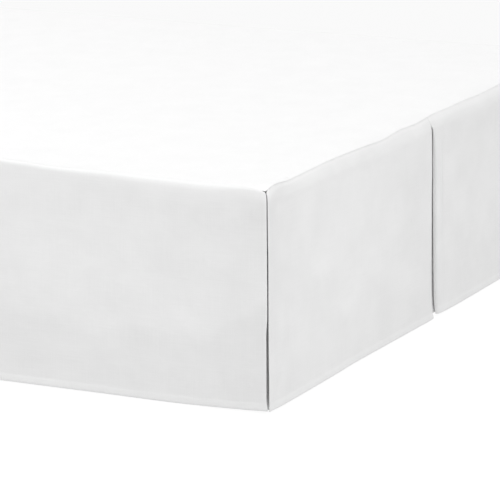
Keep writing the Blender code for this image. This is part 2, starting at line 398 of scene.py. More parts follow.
bm = bmesh.new()
span = Vector((high.x - low.x - 2 * DUST_EDGE, high.y - low.y - 2 * DUST_EDGE))
rows = []
for j in range(DUST_ROWS + 1):
    row = []
    for i in range(DUST_COLUMNS + 1):
        u = i / DUST_COLUMNS
        v = j / DUST_ROWS
        bay = abs(sin(3 * pi * v)) ** 0.6 * sin(pi * u) ** 0.4 if 0 < u < 1 else 0.0
        slack = DUST_SAG * bay * (0.6 + 0.4 * noise.noise(Vector((u * 6, v * 9, 1.0))))
        x = low.x + DUST_EDGE + span.x * u
        y = low.y + DUST_EDGE + span.y * v
        row.append(bm.verts.new((x, y, low.z - DUST_CLEAR - DUST_THICK / 2 - max(slack, 0.0))))
    rows.append(row)
skin(bm, rows)
dust_cover = piece("dust_cover", bm, spunbond())
thickness = dust_cover.modifiers.new("Cloth thickness", "SOLIDIFY")
thickness.thickness = DUST_THICK
thickness.offset = 0.0

bm = bmesh.new()
middle = (low + high) / 2
for side in (-1, 1):
    for is_long, length, reach in ((False, span.x, span.y), (True, span.y, span.x)):
        count = round(length / STAPLE_STEP)
        for i in range(count):
            at = (i + 0.5) / count * length - length / 2
            at += 0.002 * noise.noise(Vector((i * 1.7, side, reach)))
            edge = side * (reach / 2 - STAPLE_IN)
            x, y = (middle.x + edge, middle.y + at) if is_long else (middle.x + at, middle.y + edge)
            size = Vector((STAPLE[1], STAPLE[0], STAPLE[2])) if is_long else Vector(STAPLE)
            made = bmesh.ops.create_cube(bm, size=1.0)["verts"]
            bmesh.ops.scale(bm, vec=size, verts=made)
            z = low.z - DUST_CLEAR - DUST_THICK - STAPLE[2] / 2
            bmesh.ops.translate(bm, vec=(x, y, z), verts=made)
bmesh.ops.bevel(bm, geom=list(bm.edges), offset=0.0001, segments=1, affect="EDGES")
piece("dust_cover_staples", bm, steel())


# The deck: one flat panel of the skirt's white cotton that lies on the foundation. Its two long edges and
# its foot edge are seamed to the drops, and its head edge has a narrow hem.
CLOTH = 0.0007
HEM_CLOTH = 0.0013
SEAM_IN = 0.0100
SEAM_OVERLAP = 0.0005
SEAM_CLEAR = 0.0002
SEAM_NEARER = 0.78
SEAM_NEARER_REACH = 0.12
SEAM_SPREAD = 0.02
NARROW_HEM = 0.012
FOOT_SAG_REACH = 0.050
HEAD_FALL = 0.0045
HEAD_FALL_REACH = 0.034
DECK_EDGE_POINTS = (0.0, 0.0012, 0.0026, 0.0045, 0.007, 0.010, 0.014, 0.019, 0.025, 0.032, 0.041)
DECK_STEP = 0.0125
DECK_CORNER = 0.0035
CORNER_SAG = 0.0004
CORNER_SAG_REACH = 0.065
BEND_REACH = 0.20
RISE_FROM = 0.015
RISE_REACH = 0.15
THREAD = 0.00045
# Painted shade: how much darker the cotton is painted where nothing lies behind it, for show-through
SHOW_THROUGH_PAINTED_SHADE = 0.080
# The bend over a long edge, as (tilt from level in degrees, radius up to that tilt). It is tight at the
# top and slower below.
BEND = ((20, 0.050), (62, 0.0075), (90, 0.024))
# Along each long edge, from the foot's corner: the size of the bend, and how far the deck rises there
LEFT_BEND = (
    (0.0, 0.42), (0.07, 0.56), (0.13, 0.76), (0.20, 0.70), (0.28, 0.64), (0.36, 0.48), (0.44, 0.42),
    (0.60, 0.45), (0.80, 0.65), (1.10, 0.80), (1.45, 0.55), (1.905, 0.70),
)
LEFT_RISE = (
    (0.0, -0.0020), (0.035, -0.0006), (0.08, -0.0006), (0.124, -0.0009), (0.168, -0.0004),
    (0.213, -0.0001), (0.257, 0.0009), (0.30, 0.0018), (0.346, 0.0014), (0.39, 0.0012), (0.42, 0.0022),
    (0.46, 0.0044), (0.52, 0.0064), (0.68, 0.0066), (0.95, 0.0030), (1.30, 0.0), (1.60, 0.0006),
    (1.905, 0.0),
)
RIGHT_BEND = ((0.0, 0.42), (0.25, 0.7), (0.55, 0.5), (0.95, 0.8), (1.40, 0.6), (1.905, 0.75))
RIGHT_RISE = (
    (0.0, -0.0004), (0.30, 0.0006), (0.70, -0.0006), (1.10, 0.0010), (1.50, -0.0004), (1.905, 0.0),
)
# How far the foot edge sags at its seam, from the left corner to the right one
FOOT_SAGS = (
    (-0.686, 0.0010), (-0.65, -0.0018), (-0.574, 0.0061), (-0.50, 0.0061), (-0.425, 0.0053),
    (-0.35, 0.0070), (-0.275, 0.0092), (-0.20, 0.0124), (-0.126, 0.0087), (-0.05, 0.0108),
    (0.023, 0.0073), (0.098, 0.0085), (0.173, 0.0084), (0.248, 0.0104), (0.45, 0.0056), (0.686, 0.0012),
)


def curve_at(places, at):
    """The value at this place on a smooth curve through given (place, value) points."""
    if at <= places[0][0]:
        return places[0][1]
    for i in range(len(places) - 1):
        (start, one), (end, two) = places[i], places[i + 1]
        if at > end:
            continue
        before = places[max(i - 1, 0)]
        after = places[min(i + 2, len(places) - 1)]
        slope_one = (two - before[1]) / (end - before[0])
        slope_two = (after[1] - one) / (after[0] - start)
        t = (at - start) / (end - start)
        step = end - start
        value = (2 * t**3 - 3 * t**2 + 1) * one + (t**3 - 2 * t**2 + t) * step * slope_one
        return value + (3 * t**2 - 2 * t**3) * two + (t**3 - t**2) * step * slope_two
    return places[-1][1]


def bend_points():
    """(distance in from the face, fall below the deck) down the bend over a long edge."""
    points = []
    fall = 0.0
    inward = 0.0
    tilt = 0.0
    for end, radius in BEND:
        for i in range(12):
            points.append((inward, fall))
            turned = (radians(end) - tilt) / (12 - i)
            inward -= radius * (sin(tilt + turned) - sin(tilt))
            fall += radius * (cos(tilt) - cos(tilt + turned))
            tilt += turned
    points.append((inward, fall))
    return [(point[0] - inward, point[1]) for point in points]


def fallen(inward, size):
    """How far the bend has fallen, this far in from the face of the drop."""
    if inward >= size * EDGE_BEND[0][0]:
        return 0.0
    return size * curve_at([(-d, f) for d, f in EDGE_BEND], -inward / size)


def spaced(length, edge_points, step):
    """Places from 0 to the length, close together near both ends."""
    edge = edge_points[-1]
    steps = max(round((length - 2 * edge) / step), 1)
    inner = [edge + (length - 2 * edge) * i / steps for i in range(1, steps)]
    return [*edge_points, *inner, *[length - e for e in reversed(edge_points)]]


EDGE_BEND = bend_points()
deck_low, deck_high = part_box("deck")
DECK_TOP = deck_high.z
HALF_WIDTH = deck_high.x + SEAM_IN - SEAM_OVERLAP
FOOT = deck_low.y - SEAM_IN + SEAM_OVERLAP
HEAD = deck_high.y
LENGTH = HEAD - FOOT
WIDTH = 2 * HALF_WIDTH


def seam_in(from_corner):
    """How far in from the face a seam lies. It comes nearer the face at a split corner."""
    return SEAM_IN * (1 - SEAM_NEARER * (1 - ease(from_corner / SEAM_NEARER_REACH)))


def deck_height(x, y):
    """The top of the deck: flat on the foundation, rounding down to its seams and its head hem."""
    from_foot = y - FOOT
    height = DECK_TOP
    for inward, roundness, rises in (
        (x + HALF_WIDTH, LEFT_BEND, LEFT_RISE),
        (HALF_WIDTH - x, RIGHT_BEND, RIGHT_RISE),
    ):
        if inward < BEND_REACH:
            height -= fallen(inward, curve_at(roundness, from_foot))
            height += curve_at(rises, from_foot) * (1 - ease((inward - RISE_FROM) / RISE_REACH))
            height -= CORNER_SAG * ease(1 - sqrt(inward**2 + from_foot**2) / CORNER_SAG_REACH)
    sag = max(1 - (from_foot - SEAM_IN) / (FOOT_SAG_REACH - SEAM_IN), 0.0) ** 2
    height -= curve_at(FOOT_SAGS, x) * min(sag, 1.2)
    from_head = HEAD - y
    over = max(1 - from_head / HEAD_FALL_REACH, 0.0) ** 2
    height -= HEAD_FALL * over * (1 + 0.35 * noise.noise(Vector((x * 6, 3.0, 0.0))))
    inner = ease(min(x + HALF_WIDTH, HALF_WIDTH - x, from_foot, from_head + 0.03) / 0.08)
    height += 0.0007 * inner * (noise.noise(Vector((x * 3.1, y * 2.3, 0.5))) - 0.25)
    crease = 1 - abs(noise.noise(Vector((x * 4.2 + 7, y * 3.4, 5.0)))) * 6
    return height + 0.0004 * inner * max(crease, 0.0)


def cotton(name, albedo):
    """White plain-woven cotton, darkened by painted shade where nothing lies behind it and in its folds.
    """
    made, tree, shader = finish(name, (albedo, albedo, albedo), 0.88)
    flat, bump = weave(tree, shader, THREAD, 0.0, 0.30, 0.00022)
    backed = add_node(tree, "ShaderNodeAttribute", attribute_name="cover").outputs["Fac"]
    weft = patches(tree, stretched(tree, flat, (14, 700, 1)), 1.0, 2)
    warp = patches(tree, stretched(tree, flat, (700, 14, 1)), 1.0, 2)
    cloud = patches(tree, flat, 16, 5)
    mottle = reckoned(tree, "ADD", reckoned(tree, "ADD", weft, warp), cloud)
    # Painted shade: the colour is darkened by up to this share where the painted light share is low
    shade_darkening = add_node(tree, "ShaderNodeMapRange", {0: backed, 3: 1 - SHOW_THROUGH_PAINTED_SHADE, 4: 1.0}).outputs[0]
    spread = {0: mottle, 1: 0.9, 2: 2.1, 3: 0.971, 4: 1.029}
    uneven = add_node(tree, "ShaderNodeMapRange", spread).outputs[0]
    level = reckoned(tree, "MULTIPLY", reckoned(tree, "MULTIPLY", shade_darkening, uneven), albedo)
    tone = add_node(tree, "ShaderNodeCombineColor", {0: level, 1: level, 2: level}).outputs[0]
    tree.links.new(tone, shader.inputs["Base Color"])
    crumple = {"Height": patches(tree, flat, 22, 5), "Strength": 0.5, "Distance": 0.0035}
    soft = add_node(tree, "ShaderNodeBump", crumple)
    tree.links.new(soft.outputs[0], bump.inputs["Normal"])
    shader.inputs["Sheen Weight"].default_value = 0.08
    shader.inputs["Sheen Roughness"].default_value = 0.6
    return made


def cloth_sheet(name, rows, cloth):
    """A sheet of cloth through rows of points. With each go its place on the flat cloth, its share of
    painted light (lower where shade is painted), and how thick it is there as a share of a hem's two
    layers."""
    bm = bmesh.new()
    flat_place = cloth_places(bm)
    cover = bm.verts.layers.float.new("cover")
    made = []
    for row in rows:
        verts = []
        for point, spot, back, _ in row:
            vert = bm.verts.new(point)
            vert[flat_place] = (*spot, 0)
            # The share of painted light, lower where shade is painted
            vert[cover] = back
            verts.append(vert)
        made.append(verts)
    skin(bm, made)
    obj = piece(name, bm, cloth)
    group = obj.vertex_groups.new(name="double cloth")
    for i, weight in enumerate(point[3] for row in rows for point in row):
        group.add([i], weight, "REPLACE")
    solidify = obj.modifiers.new("Cloth thickness", "SOLIDIFY")
    solidify.thickness = HEM_CLOTH
    solidify.offset = 0.0
    solidify.vertex_group = group.name
    solidify.use_quality_normals = True
    return obj


white_cotton = cotton("White cotton", 0.84)
single = CLOTH / HEM_CLOTH
deck_width = deck_high.x - deck_low.x
deck_length = HEAD - deck_low.y
rows = []
for v in spaced(deck_length, DECK_EDGE_POINTS, DECK_STEP):
    row = []
    for u in spaced(deck_width, DECK_EDGE_POINTS, DECK_STEP):
        x = deck_low.x + u
        y = deck_low.y + v
        side = -1 if u < deck_width / 2 else 1
        from_side = min(u, deck_width - u)
        p = max(DECK_CORNER - from_side, 0.0) / DECK_CORNER
        q = max(DECK_CORNER - v, 0.0) / DECK_CORNER
        if p > 0 and q > 0:
            x = side * (deck_high.x - DECK_CORNER + DECK_CORNER * p * sqrt(1 - q * q / 2))
            y = deck_low.y + DECK_CORNER - DECK_CORNER * q * sqrt(1 - p * p / 2)
        y -= (SEAM_IN - seam_in(from_side)) * (1 - ease(v / SEAM_SPREAD))
        x += side * (SEAM_IN - seam_in(v)) * (1 - ease(from_side / SEAM_SPREAD))
        single_here = single * (0.4 + 0.6 * ease(min(from_side, v) / 0.003))
        weight = 1.0 if deck_length - v < NARROW_HEM else single_here
        row.append(((x, y, deck_height(x, y) - CLOTH / 2), (u, v), 1.0, weight))
    rows.append(row)
deck = cloth_sheet("deck_cloth", rows, white_cotton)
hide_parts("deck")


# The three drops: straight strips of the same cotton, double-hemmed below, with an inverted box pleat
# folded into the middle. The top of each is seamed under the edge of the deck, so that it hangs free.
HEM_HEIGHT = 0.006
HEM = 0.014
HEM_ROWS = (0.0, 0.0008, 0.0022, 0.0048, 0.0080, 0.0108, 0.0122, 0.0132, 0.0142, 0.0158, 0.0190, 0.0240)
FACE_ROWS = 49
SHOULDER_ROWS = (0.12, 0.24, 0.36, 0.48, 0.59, 0.69, 0.78, 0.86, 0.92, 0.97, 1.0)
COLUMN_STEP = 0.0048
EDGE_COLUMNS = (0.0, 0.0008, 0.0022, 0.0040, 0.0065, 0.0095, 0.013, 0.017, 0.021)
STRAIGHT_BELOW = 0.026
STRAIGHT_TALL = 0.355
DROP_SHOULDER = 0.0265
FOOT_SHOULDER = 0.0245
SHOULDER_FOOT = 0.10
SHOULDER_SLOPES = (0.545, 1.617)
FLARE = 0.003
FLARE_CURVE = 1.8
STITCH_HEIGHT = 0.0122
STITCH_REACH = 0.0018
STITCH_PULL = 0.26
HEM_ROLL = 0.0005
HEM_ROLL_TALL = 0.0024
SLIT = 0.003
SLIT_REACH = 0.050
RETURN = 0.075
RETURN_BEHIND = 0.0016
RETURN_SLOPE = 0.045
UNDERLAY_BEHIND = 0.0115
SEWN_RETURN_BEHIND = 0.0009
SEWN_UNDERLAY_BEHIND = 0.0026
LOOSE_BELOW = 0.055
FOLD_STEPS = 6
FOLD_ROUND = 0.0012
CORNER_GAP = 0.0010
LOW_CORNER_GAP = 0.0020
HIGH_CORNER_GAP = 0.0002
END_REACH = 0.06
END_ROUND = 0.003
ROLL_DIP = 0.33
ROLL_DIP_REACH = 0.022
# Painted shade on the drops: in the pleat, where nothing is behind, from the base's mask, over swells
PLEAT_PAINTED_SHADE = 0.28
BARE_PAINTED_LIGHT = 0.39
BASE_PAINTED_LIGHT = 0.585
CLOUD_TONE = 0.27
FLAT_PAINTED_LIGHT = 0.66
SWELL_PAINTED_SHADE = 260
BASE_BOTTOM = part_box("foundation")[0].z
# How the panels wander in and out: waves to the metre along and up, and how far
WANDERS = ((9.0, 7.0, 0.0007), (21.0, 16.0, 0.0005), (38.0, 30.0, 0.00018))


def foot_turn(z, top, from_corner):
    """How far the foot drop has turned in below its seam. It bends quickly at first, then slowly."""
    tall = FOOT_SHOULDER * (0.45 + 0.55 * ease(from_corner / 0.07))
    share = min(max((z - top + tall) / tall, 0.0), 1.0)
    low, high = SHOULDER_SLOPES
    if share < SHOULDER_FOOT:
        return SEAM_IN * low * share * share / (2 * SHOULDER_FOOT)
    above = share - SHOULDER_FOOT
    slowing = (high - low) * above**2 / (2 * (1 - SHOULDER_FOOT))
    return SEAM_IN * (low * SHOULDER_FOOT / 2 + low * above + slowing)


def side_turn(z, top, size):
    """How far a side drop has turned in below its seam, along the bend of its edge."""
    at_seam = fallen(SEAM_IN, size)
    fall = (at_seam + top - z) / size
    return size * curve_at([(f, d) for d, f in EDGE_BEND], fall)


def low_down(z, top):
    """How low down the straight part of a drop this is: 0 at its top, 1 near the hem."""
    return min(max((top - STRAIGHT_BELOW - z) / STRAIGHT_TALL, 0.0), 1.0)


def swelling(swells, x, z):
    """How far a panel stands out here, from its soft listed swells."""
    out = 0.0
    for along, height, wide, tall, by in swells:
        out += by * ease(1 - abs(x - along) / wide) * ease(1 - abs(z - height) / tall)
    return out


def pleated_path(start, end):
    """(place, layer) along a drop: panel, return, underlay, return and panel, each fold rounded."""
    outer = SLIT / 2
    inner = RETURN - FOLD_ROUND
    half_turn = [i * pi / FOLD_STEPS for i in range(1, FOLD_STEPS)]

    def fold(middle, bend, layer, after):
        return [(middle + bend * sin(a), layer + (after - layer) * (1 - cos(a)) / 2) for a in half_turn]

    left_panel = [start + x for x in spaced(-outer - start, EDGE_COLUMNS, COLUMN_STEP)]
    right_panel = [outer + x for x in spaced(end - outer, EDGE_COLUMNS, COLUMN_STEP)]
    back = [outer + x for x in spaced(inner - outer, EDGE_COLUMNS[:6], COLUMN_STEP * 1.4)]
    path = [(x, 0) for x in left_panel]
    path += fold(-outer, 0.0, 0, 1)
    path += [(-x, 1) for x in back]
    path += fold(-inner, -FOLD_ROUND, 1, 2)
    path += [(x - inner, 2) for x in spaced(2 * inner, EDGE_COLUMNS[:6], COLUMN_STEP * 1.4)]
    path += fold(inner, FOLD_ROUND, 2, 1)
    path += [(x, 1) for x in reversed(back)]
    path += fold(outer, 0.0, 1, 0)
    return path + [(x, 0) for x in right_panel]


def behind(x, layer, z, top):
    """How far behind the face a layer of the pleat hangs. At the seam the layers lie close together."""
    loose = ease((top - z) / LOOSE_BELOW)
    back = SEWN_RETURN_BEHIND + (RETURN_BEHIND - SEWN_RETURN_BEHIND + RETURN_SLOPE * abs(x)) * loose
    deep = SEWN_UNDERLAY_BEHIND + (UNDERLAY_BEHIND - SEWN_UNDERLAY_BEHIND) * loose
    return back * layer if layer < 1 else back + (deep - back) * (layer - 1)


class Drop:
    """One drop, drawn along x from left to right as seen from outside, with y going in behind it. Each
    end is plain, a corner, or tucked in beside the other drop's corner."""

    def __init__(
        self, length, ends, shoulder, top, rolls, swells, slit, hem, hem_shows, backed, flare, covers
    ):
        self.start = -length / 2 + (CORNER_GAP if ends[0] == "tucked" else 0.0)
        self.end = length / 2 - (CORNER_GAP if ends[1] == "tucked" else 0.0)
        self.ends = ends
        self.shoulder = shoulder
        self.top = top
        self.rolls = rolls
        self.swells = swells
        self.slit = slit
        self.hem = hem
        self.hem_shows = hem_shows
        self.backed = backed
        self.flare = flare
        self.covers = covers

    def heights(self, x, layer):
        """The rows up this column, from the hem to the seam."""
        hem = HEM_HEIGHT + curve_at(self.hem, x) + 0.0010 * ease(layer / 2)
        top = self.top(self.seam_place(x))
        shoulder = top - DROP_SHOULDER
        first = hem + HEM_ROWS[-1]
        rows = [hem + e for e in HEM_ROWS]
        rows += [first + (shoulder - first) * i / FACE_ROWS for i in range(1, FACE_ROWS + 1)]
        return rows + [shoulder + (top - shoulder) * share for share in SHOULDER_ROWS]

    def pleat(self, x, layer, z, top):
        """Where the cloth lies beside the slit: how far along and how far in. Each edge rolls inwards and
        then folds back on itself."""
        side = 0 if x < 0 else 1
        back = behind(x, layer, z, top)
        if layer > 1:
            return x, back
        radius = max(curve_at(self.rolls[side], z), behind(SLIT / 2, 1, z, top) + 0.0002)
        away = max(abs(x) - SLIT / 2, 0.0)
        opened = curve_at(self.slit[side], z) * (1 - ease(away / SLIT_REACH))
        if 0 < layer < 1:
            fold = behind(SLIT / 2, 1, z, top)
            along = SLIT / 2 + fold * layer
            deep = radius + fold * sqrt(layer * (1 - layer))
        else:
            angle = min(away / radius, pi / 2)
            beyond = max(away - radius * pi / 2, 0.0)
            along = SLIT / 2 + radius - (radius - back) * cos(angle) + beyond
            along += radius * (pi / 2 - 1) * ease(beyond / 0.040)
            deep = radius - (radius - back) * sin(angle)
        deep += ROLL_DIP * radius * (1 - ease(away / ROLL_DIP_REACH))
        return (-along if side == 0 else along) + opened, deep

    def at(self, x, layer, z, top):
        """The middle of the cloth at this place: along, in, up."""
        along, deep = self.pleat(x, layer, z, top)
        depth = CLOTH / 2 + deep + self.shoulder(self.seam_place(x), z, top)
        depth -= swelling(self.swells, x, z) + self.flare(x, z, low_down(z, top))
        hanging = ease((z - 0.01) / 0.03) * ease((top - z) / 0.03)
        for wide, tall, by in WANDERS:
            wave = noise.noise(Vector((x * wide, z * tall, by * 9000 + self.start * 7)))
            depth += by * hanging * wave
        above_hem = z - HEM_HEIGHT - curve_at(self.hem, x)
        depth += HEM_ROLL * max(1 - above_hem / HEM_ROLL_TALL, 0.0) ** 2
        near_seam = ease((z - top + 0.020) / 0.018)
        depth += 0.0006 * near_seam * noise.noise(Vector((x * 62.0, z * 20.0, 3.0)))
        return Vector((along + self.end_shift(x, z, top), depth, z))

    def end_shift(self, x, z, top):
        """Where an end meets the other drop's shoulder, it is cut to follow that."""
        shift = 0.0
        for word, away, sign in ((self.ends[0], x - self.start, 1), (self.ends[1], self.end - x, -1)):
            if word == "plain" or away > END_REACH:
                continue
            turned = side_turn(z, top, LEFT_BEND[0][1]) if word == "corner" else foot_turn(z, top, 0.0)
            turned *= seam_in(0.0) / SEAM_IN
            if word == "tucked":
                up_round = min(max(z - top + END_ROUND, 0.0) / END_ROUND, 1.0)
                turned += END_ROUND * (1 - sqrt(1 - up_round**2))
                turned += LOW_CORNER_GAP * (1 - ease((z - 0.134) / 0.034)) * ease((z - 0.008) / 0.02)
                turned += HIGH_CORNER_GAP * ease((z - top + 0.024) / 0.016)
            shift += sign * turned * (1 - ease(away / END_REACH))
        return shift

    def seam_place(self, x):
        """Where the top of this column meets the seam."""
        return x + self.end_shift(x, 0.0, 0.0)

    def build(self, name, node, place):
        """The cloth of this drop, with its hem stitches."""
        rows = []
        length = 0.0
        previous = None
        for x, layer in pleated_path(self.start, self.end):
            top = self.top(self.seam_place(x))
            heights = self.heights(x, layer)
            points = [self.at(x, layer, z, top) for z in heights]
            middle = points[len(points) // 2]
            length += (middle - previous).length if previous else 0.0
            previous = middle
            away = min(x - self.start, self.end - x)
            edge_hem = ease((NARROW_HEM - away) / 0.002)
            row = []
            for z, point in zip(heights, points):
                above_hem = z - heights[0]
                hem = ease((HEM + 0.003 - z + heights[0]) / 0.006)
                # How light this point is painted, lower where shade is painted
                cover = self.cover(x, layer, z, above_hem, top, away)
                weight = max(single, edge_hem, hem) * self.edge_weight(above_hem)
                row.append((place @ point, (length, above_hem), cover, weight))
            rows.append(row)
        obj = cloth_sheet(name, rows, white_cotton)
        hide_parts(node)
        return obj, length, heights[-1] - heights[0]

    def edge_weight(self, above_hem):
        """The hem's fold is a little thinner than its two layers, and the stitches pull it in."""
        stitch = max(1 - abs(above_hem - STITCH_HEIGHT) / STITCH_REACH, 0.0)
        return (1 - STITCH_PULL * stitch) * (0.75 + 0.25 * ease(above_hem / 0.002))

    def cover(self, x, layer, z, above_hem, top, away):
        """How light the cloth is painted here: 1 for no painted shade, lower for more painted shade."""
        # Painted shade inside the pleat, for the shade its folds cast on each other
        if layer > 0:
            return PLEAT_PAINTED_SHADE
        cloud = noise.noise(Vector((x * 15.0, z * 19.0, 1.5)))
        cloud += 0.5 * noise.noise(Vector((x * 40.0, z * 46.0, 2.5)))
        # Painted shade from the side's mask, for the base showing through, and more over the swells; the
        # cloud is random tone
        masked_light = self.covers(x, z + 0.012 * cloud)
        swell_painted_light = min(max(FLAT_PAINTED_LIGHT - SWELL_PAINTED_SHADE * swelling(self.swells, x, z), 0.0), 1.0)
        value = BARE_PAINTED_LIGHT + BASE_PAINTED_LIGHT * masked_light * swell_painted_light + CLOUD_TONE * cloud
        # The doubled hem and the cloth by the drop's ends are painted lighter
        turned_up = HEM + 0.0015 + 0.0025 * noise.noise(Vector((x * 60.0, 4.0, 0.0)))
        double = curve_at(self.hem_shows, x) * ease((turned_up - above_hem) / 0.0035)
        value += (1 - value) * max(double, 0.45 * ease((0.0035 - away) / 0.002))
        # The band under the seam is painted lighter, up to no painted shade at the seam
        backed = curve_at(self.backed, x)
        return value + (1 - value) * ease((z - top + backed) / (0.7 * backed))


def left_painted_shade(x, z):
    """Painted shade, for the base showing through the left side: darker below its lower edge, which
    slants up towards the split corner.
    """
    away = LENGTH / 2 - x
    edge = BASE_BOTTOM - 0.006 + 0.078 * max(1 - away / 0.11, 0.0)
    above = ease((z - edge + 0.012) / 0.026)
    share = 0.42 + 0.58 * ease(away / 0.24) + 0.20 * ease((away - 0.25) / 0.15)
    share -= 1.2 * (1 - ease(away / 0.08)) * ease((z - 0.290) / 0.040)
    return above * share - 1.1 * (1 - above) * (1 - ease(away / 0.20))


def from_foot_corner(x):
    """How far this place along the foot lies from its nearer corner."""
    return WIDTH / 2 - abs(x)


def foot_painted_shade(x, z):
    """Painted shade on the foot, for the base showing through: darker low down, near the corners, and
    where the cloth stands off below the seam.
    """
    low = 0.35 + 0.65 * ease((z - BASE_BOTTOM + 0.045) / 0.060)
    near_seam = ease((z - 0.348) / 0.012) * ease(from_foot_corner(x) / 0.08)
    return low * (1.75 * ease(from_foot_corner(x) / 0.20) - 0.75) - 0.75 * near_seam


def right_painted_shade(x, z):
    """Painted shade, for the base showing through the right side: darker below its lower edge all along,
    less so near the split corner.
    """
    return ease((z - BASE_BOTTOM + 0.020) / 0.040) * (0.55 + 0.45 * ease((LENGTH / 2 + x) / 0.16))


def foot_flare(x, z, low):
    """The foot drop stands out towards the hem, and a little beside its two split corners."""
    flare = FLARE * low**FLARE_CURVE
    return flare + (curve_at(FOOT_OPENS, z) - flare) * (1 - ease(from_foot_corner(x) / 0.045))


def side_flare(x, z, low):
    """A side drop stands out towards the hem."""
    return FLARE * low**FLARE_CURVE


# How far the foot drop stands out beside a split corner, up its height
FOOT_OPENS = ((0.004, 0.0016), (0.03, 0.0020), (0.15, 0.0020), (0.36, 0.0018), (0.3845, 0.0008))
# The swells in a panel: the place along and up, how wide and tall, and how far out
FOOT_SWELLS = (
    (-0.634, 0.130, 0.030, 0.110, 0.0034),
    (-0.620, 0.055, 0.028, 0.055, 0.0028),
    (-0.655, 0.040, 0.020, 0.026, -0.0012),
    (-0.500, 0.305, 0.050, 0.050, 0.0014),
    (-0.486, 0.225, 0.045, 0.040, -0.0017),
    (-0.490, 0.155, 0.090, 0.060, 0.0017),
    (-0.375, 0.130, 0.070, 0.055, -0.0017),
    (-0.330, 0.295, 0.170, 0.090, -0.0016),
    (-0.350, 0.200, 0.150, 0.150, -0.0011),
    (-0.080, 0.200, 0.090, 0.200, 0.0014),
    (-0.190, 0.050, 0.150, 0.060, 0.0014),
    (0.038, 0.235, 0.014, 0.160, 0.0031),
    (0.220, 0.335, 0.180, 0.030, 0.0012),
    (0.300, 0.180, 0.200, 0.140, -0.0014),
    (0.520, 0.240, 0.150, 0.120, 0.0017),
)
# Up the pleat's left and right edges: how far each lies to the right, and the radius it rolls in with
FOOT_SLIT = (
    (
        (0.006, 0.0064), (0.0115, 0.0028), (0.017, 0.0006), (0.028, -0.0008), (0.045, -0.0028),
        (0.063, -0.0044), (0.100, -0.0044), (0.140, -0.0012), (0.210, 0.0013), (0.270, 0.0031),
        (0.330, 0.0041), (0.352, 0.0028), (0.3845, 0.0012),
    ),
    (
        (0.006, 0.0256), (0.018, 0.0234), (0.035, 0.0212), (0.060, 0.0210), (0.240, 0.0206),
        (0.280, 0.0200), (0.320, 0.0170), (0.345, 0.0108), (0.356, 0.0060), (0.364, 0.0004),
        (0.3845, -0.0012),
    ),
)
FOOT_ROLLS = (
    ((0.006, 0.0018), (0.3845, 0.0012)),
    (
        (0.006, 0.0040), (0.016, 0.0049), (0.030, 0.0056), (0.280, 0.0054), (0.320, 0.0042),
        (0.345, 0.0022), (0.358, 0.0013), (0.3845, 0.0012),
    ),
)


def foot_shoulder(x, z, top):
    """How far in the foot drop lies under its seam."""
    return foot_turn(z, top, from_foot_corner(x)) * seam_in(from_foot_corner(x)) / SEAM_IN


def foot_groove(x):
    """The groove along the foot's seam is a little uneven, and shallower past the pleat."""
    deep = (0.00045 + 0.0003 * noise.noise(Vector((x * 55.0, 6.0, 0.0)))) * ease((0.10 - x) / 0.15)
    return SEAM_CLEAR + deep + 0.0003 * (1 - ease(from_foot_corner(x) / 0.10))


def foot_seam(x):
    """The height at which the foot drop meets its seam."""
    return deck_height(x, FOOT + seam_in(from_foot_corner(x))) - CLOTH * 0.4 - foot_groove(x)


foot = Drop(
    length=WIDTH,
    ends=("corner", "corner"),
    shoulder=foot_shoulder,
    top=foot_seam,
    rolls=FOOT_ROLLS,
    swells=FOOT_SWELLS,
    slit=FOOT_SLIT,
    hem=(
        (-0.686, -0.0002), (-0.60, -0.0012), (-0.50, -0.0012), (-0.40, -0.0006), (-0.35, 0.0002),
        (-0.20, -0.0012), (-0.06, -0.0026), (-0.002, -0.0030), (0.002, 0.0002), (0.10, -0.0012),
        (0.25, -0.0010), (0.40, 0.0), (0.686, 0.0),
    ),
    hem_shows=((-0.686, 0.45), (0.686, 0.45)),
    backed=((-0.686, 0.022), (-0.62, 0.009), (-0.02, 0.009), (0.05, 0.017), (0.686, 0.017)),
    flare=foot_flare,
    covers=foot_painted_shade,
)
foot_place = Matrix.Translation((0, FOOT, 0))
foot_drop, foot_length, foot_height = foot.build("foot_drop_cloth", "foot_drop", foot_place)

LEFT_SWELLS = (
    (0.764, 0.178, 0.110, 0.060, -0.0014),
    (0.752, 0.350, 0.130, 0.030, 0.0010),
    (0.905, 0.240, 0.060, 0.110, 0.0010),
    (0.560, 0.250, 0.120, 0.110, -0.0012),
    (0.380, 0.120, 0.200, 0.120, 0.0016),
    (0.100, 0.240, 0.160, 0.130, -0.0012),
    (-0.200, 0.150, 0.200, 0.120, 0.0014),
    (-0.450, 0.220, 0.240, 0.140, -0.0016),
    (-0.740, 0.200, 0.150, 0.160, 0.0012),
)
RIGHT_SWELLS = (
    (-0.820, 0.230, 0.110, 0.120, 0.0012),
    (-0.600, 0.220, 0.200, 0.140, -0.0016),
    (-0.300, 0.140, 0.160, 0.120, 0.0014),
    (0.080, 0.260, 0.140, 0.100, -0.0012),
    (0.340, 0.180, 0.180, 0.120, 0.0014),
    (0.620, 0.220, 0.200, 0.130, -0.0014),
)
SIDE_SLIT = (
    ((0.006, -0.0030), (0.150, -0.0042), (0.300, -0.0020), (0.360, 0.0008), (0.3845, 0.0013)),
    ((0.006, 0.0036), (0.150, 0.0050), (0.300, 0.0026), (0.360, -0.0008), (0.3845, -0.0013)),
)
SIDE_ROLLS = (
    ((0.006, 0.0030), (0.150, 0.0036), (0.300, 0.0024), (0.3845, 0.0012)),
    ((0.006, 0.0026), (0.150, 0.0030), (0.300, 0.0020), (0.3845, 0.0012)),
)


def cut_corner(from_corner):
    """A side drop's top corner is rounded off beside the split."""
    return 0.0019 * ease((0.0138 - from_corner) / 0.0062)


